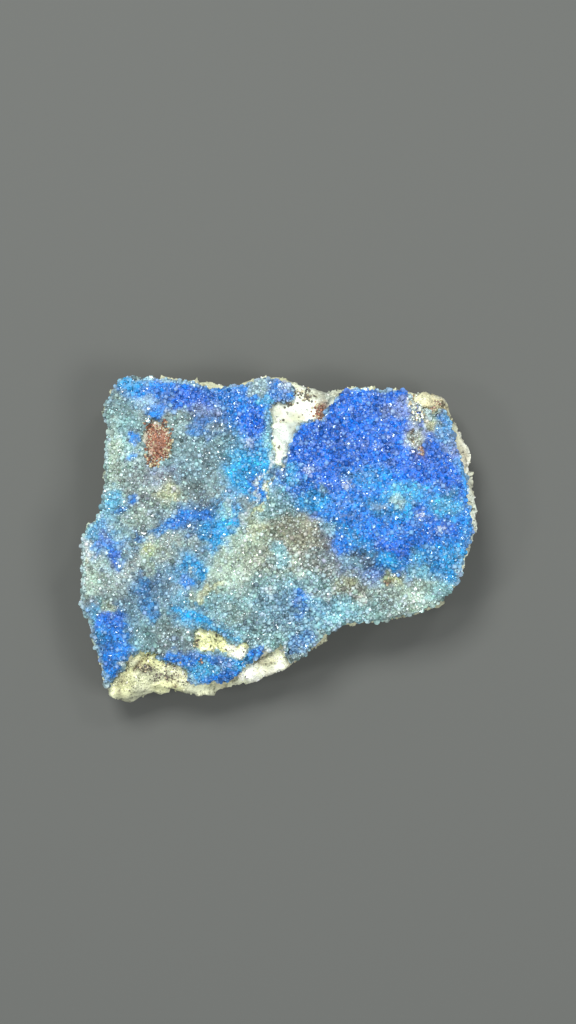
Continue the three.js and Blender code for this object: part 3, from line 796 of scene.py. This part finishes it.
def add_piece(name, points, faces, material, smooth, tint):
    """Puts points in millimetres and faces into a new object, with a colour for each point."""
    mesh = bpy.data.meshes.new(name)
    corners = np.concatenate([f.ravel() for f in faces])
    sizes = np.concatenate([np.full(len(f), f.shape[1]) for f in faces])
    mesh.vertices.add(len(points))
    mesh.vertices.foreach_set("co", (points * MM).ravel())
    mesh.loops.add(len(corners))
    mesh.loops.foreach_set("vertex_index", corners.astype(np.int32))
    mesh.polygons.add(len(sizes))
    mesh.polygons.foreach_set("loop_start", (np.cumsum(sizes) - sizes).astype(np.int32))
    mesh.update(calc_edges=True)
    (mesh.shade_smooth if smooth else mesh.shade_flat)()
    colours = np.concatenate([tint, np.ones((len(points), 1))], -1)
    mesh.attributes.new("tint", "FLOAT_COLOR", "POINT").data.foreach_set("color", colours.ravel())
    mesh.materials.append(material)
    return add_object(name, mesh)


def crystals(places, axes, widths, heights, lean, profile, sides, seed):
    """Closed prisms with sloping tips: a profile of (height, half width) rings carried round an
    axis that leans from the surface normal at random, each turned at random about it."""
    draw = np.random.default_rng(seed)
    count = len(places)
    axis = axes + lean * draw.normal(size=(count, 3))
    axis /= np.linalg.norm(axis, axis=1, keepdims=True)
    side = np.cross(axis, draw.normal(size=(count, 3)))
    side /= np.linalg.norm(side, axis=1, keepdims=True)
    other = np.cross(axis, side)
    around = 2 * math.pi * np.arange(sides) / sides
    rings = []
    for height, half in profile:
        offset = np.cos(around)[:, None] * side[:, None] + np.sin(around)[:, None] * other[:, None]
        centre = places + axis * (heights * height)[:, None]
        rings.append(centre[:, None] + offset * (widths * half)[:, None, None])
    points = np.stack(rings, 1).reshape(-1, 3)
    ring = np.arange(sides)
    faces = [ring_faces(ring + k * sides + sides, ring + k * sides) for k in range(len(profile) - 1)]
    body = np.concatenate(faces)
    last = (len(profile) - 1) * sides
    caps = np.stack([ring[::-1], ring + last])
    first = np.arange(count)[:, None, None] * sides * len(profile)
    groups = [np.concatenate([body, caps])] if sides == 4 else [body, caps]
    return points, [(group + first).reshape(-1, group.shape[1]) for group in groups]


# The shapes of the rock and the crust

def rock_level(x, y):
    """Height of the rock's top: the bare level, falling under the crust from its broken edge."""
    covered = ramp(crust_share(x, y), 0.75, 1.0)
    bare = bare_level(x, y) - UNDER_EDGE * crust_cover(x, y)
    return bare * (1 - covered) + (crust_level(x, y) - CRUST_THICKNESS) * covered


def crust_cover(x, y):
    """How much crust there is at each place, its broken edge frayed by noise."""
    fray = layered_noise(flat_points(x, y), EDGE_FRAY, 11)
    x, y = x + fray, y - fray
    cover = ramp(crust_share(x, y), 0.15, 0.65)
    for spot in REGROWN:
        cover = np.maximum(cover, ramp(from_middle(x, y, *spot), 1.25, 0.85))
    return cover


def crust_height(x, y):
    """Height of the crust's top: thin beside its broken edge, and sunk under the rock wherever
    the crust is gone."""
    cover = crust_cover(x, y)
    rise = ramp(crust_share(x, y), 0.55, 1.0)
    whole = (bare_level(x, y) + THINNEST_CRUST) * (1 - rise) + crust_level(x, y) * rise
    return (bare_level(x, y) - GONE_CRUST) * (1 - cover) + whole * cover


def in_spots(x, y, spots):
    """How much each place has of what is in the spots: the most at a middle, nothing past it."""
    shares = [most * ramp(from_middle(x, y, *spot), 1.6, 0.6) for *spot, most in spots]
    return np.max(shares, axis=0)


def rough_rock():
    """The rock as one closed surface: a top and a back that reach the walls at their own level,
    and rows between them down the walls, all displaced along the normals by facets and noise."""
    turn, radius = disk_chart(ROCK_GRID)
    rim = border(ROCK_GRID)
    rim_turn = turn.ravel()[rim]
    shoulder = on_plan(turn, wall_reach(turn, SHOULDER_LEVEL) - ROCK_INSET)
    x, y = on_plan(turn, radius * wall_reach(turn, rock_level(*shoulder)))
    top = np.stack([x, y, rock_level(x, y)], -1)
    x, y = on_plan(turn, radius * wall_reach(turn, FOOT_LEVEL))
    base = np.stack([x, y, np.maximum(back_level(x, y), 0)], -1)
    rim_top, rim_base = top.reshape(-1, 3)[rim, 2], base.reshape(-1, 3)[rim, 2]
    rings = []
    for share in np.arange(1, ROCK_RINGS) / ROCK_RINGS:
        height = rim_top * (1 - share) + rim_base * share
        rings.append(polar(rim_turn, wall_reach(rim_turn, height), height))
    points, faces = closed_slab(top, rings, base)
    normals = normals_of(points, faces)
    x, y, z = points.T
    broken = sum(facets(points, size, lean, seed) for size, lean, seed in ROCK_FACETS)
    lift = broken * (1 - SMOOTHED_SHARE * in_spots(x, y, SMOOTH_ROCK))
    lift += layered_noise(points, ROCK_GRAIN, 41)
    on_top = np.arange(len(points)) < ROCK_GRID**2
    lift = lift * np.where(on_top, 1 - SMOOTHED_SHARE * crust_cover(x, y), 1)
    above_foot = np.clip(z / FOOT_FADE, LEAST_LIFT, 1)
    points = points + normals * (lift * above_foot)[:, None]
    points[:, 2] = np.maximum(points[:, 2], LOWEST)
    return points, faces


def crust_body():
    """The crust as one closed shell: its top, its broken edge, and an underside inside the rock.
    The outermost band keeps the height found inside it, so the edge stands up sharply. Also
    gives how much crust there is at each point."""
    turn, radius = disk_chart(CRUST_GRID)
    rim = border(CRUST_GRID)
    x, y = on_plan(turn, wall_reach(turn, SHOULDER_LEVEL) - CRUST_INSET)
    reach = wall_reach(turn, crust_level(x, y) - CRUST_DROP)
    set_back = np.maximum(wall_reach(turn, WIDEST_LEVEL) - reach, 0)
    on_left = ramp(-np.cos(turn), 0.35, 0.65)
    slope = (LEFT_SPAN * on_left - WALL_LEFT_BARE) * set_back
    reach = reach + EDGE_OUT + slope - BROKEN_INSET * (1 - crust_cover(x, y))
    x, y = on_plan(turn, radius * reach)
    inwards = 1 - EDGE_BAND / reach * ramp(radius, 0.92, 1.0)
    top = np.stack([x, y, crust_height(x * inwards, y * inwards)], -1)
    cover = crust_cover(x * inwards, y * inwards).ravel()
    edge = top.reshape(-1, 3)[rim]
    edge_turn, edge_reach = turn.ravel()[rim], reach.ravel()[rim]
    rings = [polar(edge_turn, edge_reach - inward, edge[:, 2] - down) for inward, down in CRUST_EDGE]
    points, faces = closed_slab(top, rings, np.array(UNDERSIDE_POLE))
    normals = normals_of(points, faces)
    lift = layered_noise(points, CRUST_RELIEF, 51)
    cover = np.concatenate([cover, np.tile(cover[rim], len(CRUST_EDGE)), [0.0]])
    return points + normals * lift[:, None], faces, cover


# Materials

# Sockets of a Mix node that mixes colours
FACTOR, UNDER, OVER = 0, 6, 7
MIXED = 2

# Stain and grains in the skarn: the colour, the size of its noise, how detailed and rough that
# is, and the values between which it rises to its greatest share
SKARN_SPOTS = (
    ("#b3a27a", 2.8, 5.0, 0.65, 0.5, 0.72, 0.55),
    ("#5f564a", 0.55, 3.0, 0.7, 0.58, 0.68, 0.8),
)


def add_node(tree, kind, settings=(), links=()):
    """Adds a shader node, sets its properties and values, and links outputs to its inputs."""
    made = tree.nodes.new("ShaderNode" + kind)
    for key, value in dict(settings).items():
        if isinstance(key, str) and hasattr(made, key):
            setattr(made, key, value)
        else:
            made.inputs[key].default_value = value
    for key, source in dict(links).items():
        tree.links.new(source, made.inputs[key])
    return made


def new_material(name, surface):
    """A material whose surface node has the given fixed values on its own sockets."""
    material = bpy.data.materials.new(name)
    material.use_nodes = True
    tree = material.node_tree
    tree.nodes.clear()
    shader = add_node(tree, "BsdfPrincipled", surface)
    output = add_node(tree, "OutputMaterial", links={"Surface": shader.outputs[0]})
    output.is_active_output = True
    return material, tree, shader


def per_metre(size):
    """A noise texture's scale for features of a size in millimetres."""
    return 1 / (size * MM)


def broken_skarn():
    """Skarn, a pale lime-silicate rock, freshly broken: chalky and matt, mottled by tan stain at
    a few millimetres, and peppered with dark grains half a millimetre across."""
    material, tree, shader = new_material("broken_skarn", {"Roughness": 0.85, "IOR": 1.6})
    place = add_node(tree, "TexCoord").outputs["Object"]
    under = add_node(tree, "Attribute", {"attribute_name": "tint"}).outputs["Color"]
    for colour, size, detail, roughness, low, high, most in SKARN_SPOTS:
        pattern = {"Scale": per_metre(size), "Detail": detail, "Roughness": roughness}
        spots = add_node(tree, "TexNoise", pattern, {"Vector": place})
        spread = {"From Min": low, "From Max": high, "To Max": most}
        share = add_node(tree, "MapRange", spread, {"Value": spots.outputs[0]})
        over = {"data_type": "RGBA", OVER: (*linear(colour), 1)}
        mixed = add_node(tree, "Mix", over, {FACTOR: share.outputs[0], UNDER: under})
        under = mixed.outputs[MIXED]
    pattern = {"Scale": per_metre(1.1), "Detail": 8.0, "Roughness": 0.65}
    relief = add_node(tree, "TexNoise", pattern, {"Vector": place})
    depth = {"Strength": 0.9, "Distance": 0.5 * MM}
    bump = add_node(tree, "Bump", depth, {"Height": relief.outputs[0]})
    tree.links.new(under, shader.inputs["Base Color"])
    tree.links.new(bump.outputs[0], shader.inputs["Normal"])
    return material


def massive_kinoite():
    """Kinoite with quartz, grown as a fine aggregate: saturated under the clear crystals, a
    little waxy, and mottled at the grain of half a millimetre."""
    material, tree, shader = new_material("massive_kinoite", {"Roughness": 0.5, "IOR": 1.6})
    place = add_node(tree, "TexCoord").outputs["Object"]
    tint = add_node(tree, "Attribute", {"attribute_name": "tint"}).outputs["Color"]
    pattern = {"Scale": per_metre(0.5), "Detail": 3.0, "Roughness": 0.6}
    mottle = add_node(tree, "TexNoise", pattern, {"Vector": place})
    spread = {"From Min": 0.3, "From Max": 0.7, "To Min": 0.2, "To Max": 0.9}
    value = add_node(tree, "MapRange", spread, {"Value": mottle.outputs[0]})
    colours = {"Value": value.outputs[0], "Color": tint}
    shade = add_node(tree, "HueSaturation", {"Saturation": 1.1}, colours)
    depth = {"Strength": 0.5, "Distance": 0.1 * MM}
    bump = add_node(tree, "Bump", depth, {"Height": mottle.outputs[0]})
    tree.links.new(shade.outputs[0], shader.inputs["Base Color"])
    tree.links.new(bump.outputs[0], shader.inputs["Normal"])
    return material


def clear_apophyllite(name, see_through):
    """Apophyllite, clear crystals with bright natural faces: each takes the colour of what it
    grows on, lets part of the light through with a faint icy cast from the depth of the
    crystal, and glints where a face turns to a light."""
    surface = {"Roughness": 0.08, "IOR": 1.54, "Transmission Weight": see_through}
    material, tree, shader = new_material(name, surface)
    icy = {"Color": (*linear(ICE), 1), "Density": ICE_ABSORPTION}
    depth = add_node(tree, "VolumeAbsorption", icy)
    tree.links.new(depth.outputs["Volume"], tree.get_output_node("ALL").inputs["Volume"])
    tint = add_node(tree, "Attribute", {"attribute_name": "tint"}).outputs["Color"]
    tree.links.new(tint, shader.inputs["Base Color"])
    return material


def broken_garnet():
    """Grossular garnet grains, broken: red-brown, with a resinous gloss."""
    material, tree, shader = new_material("grossular_garnet", {"Roughness": 0.3, "IOR": 1.74})
    tint = add_node(tree, "Attribute", {"attribute_name": "tint"}).outputs["Color"]
    tree.links.new(tint, shader.inputs["Base Color"])
    return material


def painted_board():
    """Painted board under the specimen: grey, even and matt."""
    material, tree, shader = new_material("painted_board", {"Roughness": 0.8})
    shader.inputs["Base Color"].default_value = (*linear("#565854"), 1)
    return material


# The rock

rock_points, rock_faces = rough_rock()
rock_tint = mineral_colour(*rock_points.T[:2], "bone", ROCK_PATCHES)
rock = add_piece("skarn_rock", rock_points, rock_faces, broken_skarn(), True, rock_tint)
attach(rock, "root")
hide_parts("host_rock")

# The crust

crust_points, crust_faces, crust_whole = crust_body()
crust_normals = normals_of(crust_points, crust_faces)
crust_tint = mineral_colour(*crust_points.T[:2], "grey", CRUST_PATCHES)
thin = 1 - ramp(crust_share(*crust_points.T[:2]), *RIM_SHARES)
crust_tint += RIM_STRENGTH * thin[:, None] * (linear(RIM) - crust_tint)
crust = add_piece(
    "kinoite_crust", crust_points, crust_faces, massive_kinoite(), True, crust_tint
)
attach(crust, "root")
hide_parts("crystal_crust")


# The crystals on the crust

def spread_over_crust(step, seed):
    """Indices of crust points about step grid squares apart, in staggered rows and shaken, and
    of points down its edge, wherever most of the crust is there."""
    draw = np.random.default_rng(seed)
    along = np.arange(1.5, CRUST_GRID - 2, step)
    a, b = np.meshgrid(along, along, indexing="ij")
    b = b + (np.arange(len(along)) % 2 * step / 2)[:, None]
    a = np.clip(np.rint(a + draw.uniform(-0.3, 0.3, a.shape) * step), 0, CRUST_GRID - 1)
    b = np.clip(np.rint(b + draw.uniform(-0.3, 0.3, b.shape) * step), 0, CRUST_GRID - 1)
    top = np.unique((a * CRUST_GRID + b).astype(int).ravel())
    columns = 4 * (CRUST_GRID - 1)
    edge = [
        CRUST_GRID**2 + row * columns + np.arange(row, columns, int(step) + 1) for row in range(3)
    ]
    picked = np.concatenate([top, *edge])
    return picked[crust_whole[picked] > 0.6]


def grow(name, step, widths, lean, see_through, pale, profile, seed):
    """Crystals about step grid squares apart over the crust, tinted from what they grow on:
    painted shade at the root and a painted highlight at the tip, a share of them pale, partly as
    painted highlights, and milky in some spots."""
    picked = spread_over_crust(step, seed)
    draw = np.random.default_rng(seed + 1)
    count = len(picked)
    normals = crust_normals[picked]
    places = crust_points[picked] - normals * ROOT_DEPTH
    milky_spots = [(a, b, radius, radius, MILKIEST) for a, b, radius in MILKY_SPOTS]
    milky = in_spots(*places.T[:2], milky_spots)
    width = widths[0] + (widths[1] - widths[0]) * draw.random(count) ** 1.5
    width = width * (1 + MILKY_GROWTH * milky)
    height = width * draw.uniform(*HEIGHT_TO_WIDTH, count)
    points, faces = crystals(places, normals, width, height, lean, profile, CRYSTAL_SIDES, seed + 2)
    tint = crust_tint[picked]
    bright = tint / tint.max(axis=1, keepdims=True)
    bright = (1 - ICE_SHARE) * bright + ICE_SHARE * linear(ICE)
    # A share of crystals is made pale, partly as pale crystals and partly as painted highlights
    is_pale = draw.random(count) < pale
    if_pale, if_dull = draw.uniform(*PALE_AND_HIGHLIGHT_CLEARING, count), draw.uniform(*DULL_CLEARING, count)
    clearing = np.maximum(np.where(is_pale, if_pale, if_dull), milky)[:, None]
    bright = bright + milky[:, None] * (linear(MINERAL["chalk"]) - bright)
    tint = tint * draw.uniform(*BRIGHTNESS, (count, 1)) * (1 - clearing) + clearing * bright
    tint = tint * draw.uniform(*HUE_SHAKE, (count, 3))
    # Painted shade and light: each crystal's colour runs from darker at the root to lighter at the tip
    rise = np.linspace(*SHADED_ROOT_TO_LIT_TIP, len(profile))[:, None]
    tint = np.clip(tint[:, None] * rise, 0, BRIGHTEST)
    tint = np.repeat(tint, CRYSTAL_SIDES, axis=1).reshape(-1, 3)
    material = clear_apophyllite(name.replace("druse", "apophyllite"), see_through)
    piece = add_piece(name, points, faces, material, False, tint)
    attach(piece, "root")


for row in DRUSES:
    grow(*row)


# The loose grains

def grains_on_rock(seed):
    """Broken grains on the bare rock, fewer where it is smooth, and on a share of the points of
    its walls, in the rock's colour, lighter or darker by powers of two, or dark."""
    draw = np.random.default_rng(seed)
    x, y = rock_points.T[:2]
    index = np.arange(len(rock_points))
    is_top = index < ROCK_GRID**2
    is_wall = ~is_top & (index < len(rock_points) - ROCK_GRID**2)
    open_rock = is_top & (crust_cover(x, y) < 0.5)
    open_rock &= draw.random(len(rock_points)) > 0.9 * in_spots(x, y, SMOOTH_ROCK)
    on_wall = is_wall & (draw.random(len(rock_points)) < WALL_GRAIN_SHARE)
    chosen = np.flatnonzero(open_rock | on_wall)
    count = len(chosen)
    normals = normals_of(rock_points, rock_faces)[chosen]
    width = draw.uniform(*GRAIN_WIDTH, count)
    places = rock_points[chosen]
    points, faces = crystals(places, normals, width, width, 0.7, STUBBY, CRYSTAL_SIDES, seed + 1)
    tint = rock_tint[chosen] * 2 ** (0.45 * draw.normal(size=(count, 1)))
    on_foot = ramp(y[chosen], *FOOT_Y) * ramp(x[chosen], *FOOT_X)
    dark = draw.random(count) < DARK_SHARE + FOOT_DARK_SHARE * on_foot
    tint = np.where(dark[:, None], linear(MINERAL["soot_and_shadow"]), tint)
    tint = np.repeat(np.clip(tint, 0, BRIGHTEST_GRAIN), CRYSTAL_SIDES * len(STUBBY), axis=0)
    piece = add_piece("skarn_grains", points, faces, broken_skarn(), False, tint)
    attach(piece, "root")


def grains_in_spots(seed):
    """Garnet and dark grains in spots with ragged rims, one line of the dark grains being a painted
    shadow, on the rock or the crust, whichever is there, in their mineral's colour, lighter or
    darker by powers of two, and more and more of them cream towards the rim."""
    draw = np.random.default_rng(seed)
    spot = np.repeat(np.arange(len(GRAIN_SPOTS)), [row[5] for row in GRAIN_SPOTS])
    count = len(spot)
    middle = np.array([row[1:3] for row in GRAIN_SPOTS])[spot]
    radii = np.array([row[3:5] for row in GRAIN_SPOTS])[spot]
    turn = draw.uniform(0, 2 * math.pi, count)
    far = np.sqrt(draw.random(count))
    ragged = 1 + 0.35 * noise(polar(turn, 1.0, spot * 3.0), 0.5, seed + 2)
    shake = 0.08 + 0.2 * far**4
    x = middle[:, 0] + radii[:, 0] * far * ragged * np.cos(turn) + shake * draw.normal(size=count)
    y = middle[:, 1] + radii[:, 1] * far * ragged * np.sin(turn) + shake * draw.normal(size=count)
    z = np.where(crust_cover(x, y) > 0.5, crust_height(x, y) + 0.2, bare_level(x, y)) + 0.05
    width = draw.uniform(*GARNET_WIDTH, count)
    places, upwards = np.stack([x, y, z], -1), np.tile([0.0, 0.0, 1.0], (count, 1))
    points, faces = crystals(places, upwards, width, width, 0.5, ROUND_GRAIN, GARNET_SIDES, seed + 1)
    tint = np.array([linear(MINERAL[row[0]]) for row in GRAIN_SPOTS])[spot]
    tint = tint * 2 ** (0.5 * draw.normal(size=(count, 1)) - 0.25)
    paler = draw.random(count) < 0.05 + 0.5 * far**3
    cream = linear(MINERAL["tan"]) * draw.uniform(0.5, 1.1, (count, 1))
    tint = np.where(paler[:, None], cream, tint)
    tint = np.repeat(np.clip(tint, 0, BRIGHTEST_GRAIN), GARNET_SIDES * len(ROUND_GRAIN), axis=0)
    piece = add_piece("garnet_grains", points, faces, broken_garnet(), False, tint)
    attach(piece, "root")


grains_on_rock(61)
grains_in_spots(91)


# Floor, light and camera. Places of lights are in metres, and their power is in watts.

FLOOR_HALF = 1.5
PIXELS = (576, 1024)
PIXELS_PER_MM = 6.845
SPECIMEN_PIXEL = (278, 537.5)
LENS, SENSOR = 100.0, 36.0
FACE_LEVEL = 12.0
SKY = (0.9, 0.93, 1.0, 1)
SKY_STRENGTH = 0.54

corner_signs = ((-1, -1), (1, -1), (1, 1), (-1, 1))
floor_corners = [(x * FLOOR_HALF, y * FLOOR_HALF, 0) for x, y in corner_signs]
floor_mesh = bpy.data.meshes.new("floor")
floor_mesh.from_pydata(floor_corners, [], [(0, 1, 2, 3)])
floor_mesh.materials.append(painted_board())
floor = add_object("floor", floor_mesh)


# Square area lights that shine at the middle of the specimen: power, size and place
LIGHTS = {
    "key": (2.62, 0.18, (-0.14, 0.26, 0.50)),
    "fill": (1.15, 0.18, (0.26, -0.10, 0.48)),
    "glint_left": (0.4, 0.07, (-0.30, -0.05, 0.42)),
    "glint_right": (0.4, 0.07, (0.16, 0.26, 0.44)),
}
AIM = Vector((0, 0, 0.01))

for name, (power, size, place) in LIGHTS.items():
    lamp = bpy.data.lights.new(name, "AREA")
    lamp.energy, lamp.size = power, size
    lamp_object = add_object(name, lamp)
    lamp_object.location = place
    lamp_object.rotation_euler = (AIM - Vector(place)).to_track_quat("-Z", "Y").to_euler()

world = bpy.data.worlds.new("studio")
world.use_nodes = True
world.node_tree.nodes["Background"].inputs["Color"].default_value = SKY
world.node_tree.nodes["Background"].inputs["Strength"].default_value = SKY_STRENGTH
bpy.context.scene.world = world
bpy.context.scene.view_settings.view_transform = "Standard"

# The camera looks straight down from where the face has the photograph's size and place
camera = bpy.data.cameras.new("camera")
camera.lens, camera.sensor_width = LENS, SENSOR
camera.clip_start, camera.clip_end = 0.01, 10
camera_object = add_object("camera", camera)
bpy.context.scene.camera = camera_object
view_height = PIXELS[1] / PIXELS_PER_MM
offset_x = (PIXELS[0] / 2 - SPECIMEN_PIXEL[0]) / PIXELS_PER_MM
offset_y = (SPECIMEN_PIXEL[1] - PIXELS[1] / 2) / PIXELS_PER_MM
camera_level = FACE_LEVEL + view_height * LENS / SENSOR
camera_object.location = (offset_x * MM, offset_y * MM, camera_level * MM)
